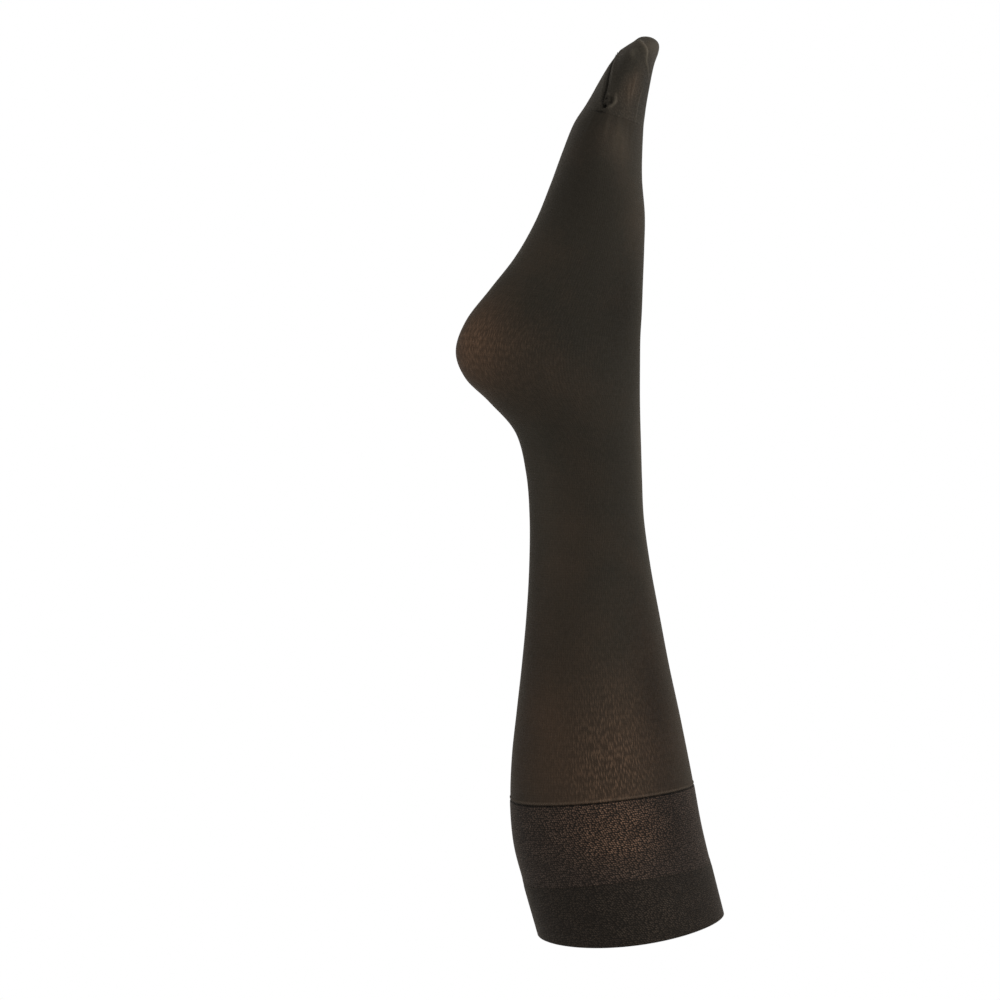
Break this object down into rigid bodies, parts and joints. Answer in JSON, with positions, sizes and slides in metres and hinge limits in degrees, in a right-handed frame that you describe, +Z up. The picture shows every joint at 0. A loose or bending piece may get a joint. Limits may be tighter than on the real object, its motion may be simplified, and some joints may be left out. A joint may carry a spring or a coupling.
{
  "type": "compression stocking",
  "caption": "Knee-high compression stocking in its worn, filled-out form: an open top welt, a mesh-knit upper band, a leg and foot knitted as one tube and a closed, denser toe. Hollow inside.",
  "frame": {"origin": "middle of the open edge of the top welt, on the plane of that edge, where the stocking is held up", "axes": "+Z runs up from the open edge to the toe, +X towards the shin and instep, +Y towards the outer side"},
  "size_m": [0.167, 0.1102, 0.556],
  "materials": {
    "welt_knit": "dense doubled rib knit, near black, matte",
    "band_knit": "open dotted net knit, dark brown-black, matte with a soft sheen",
    "leg_knit": "fine plain knit, opaque brown-black, soft sheen",
    "toe_knit": "denser plain knit, grey-black, soft sheen"
  },
  "bodies": {
    "root": {"welt": "welt_knit", "upper_band": "band_knit", "leg": "leg_knit", "heel_and_arch": "leg_knit", "forefoot": "leg_knit", "toe_cap": "toe_knit"}
  },
  "joints": []
}
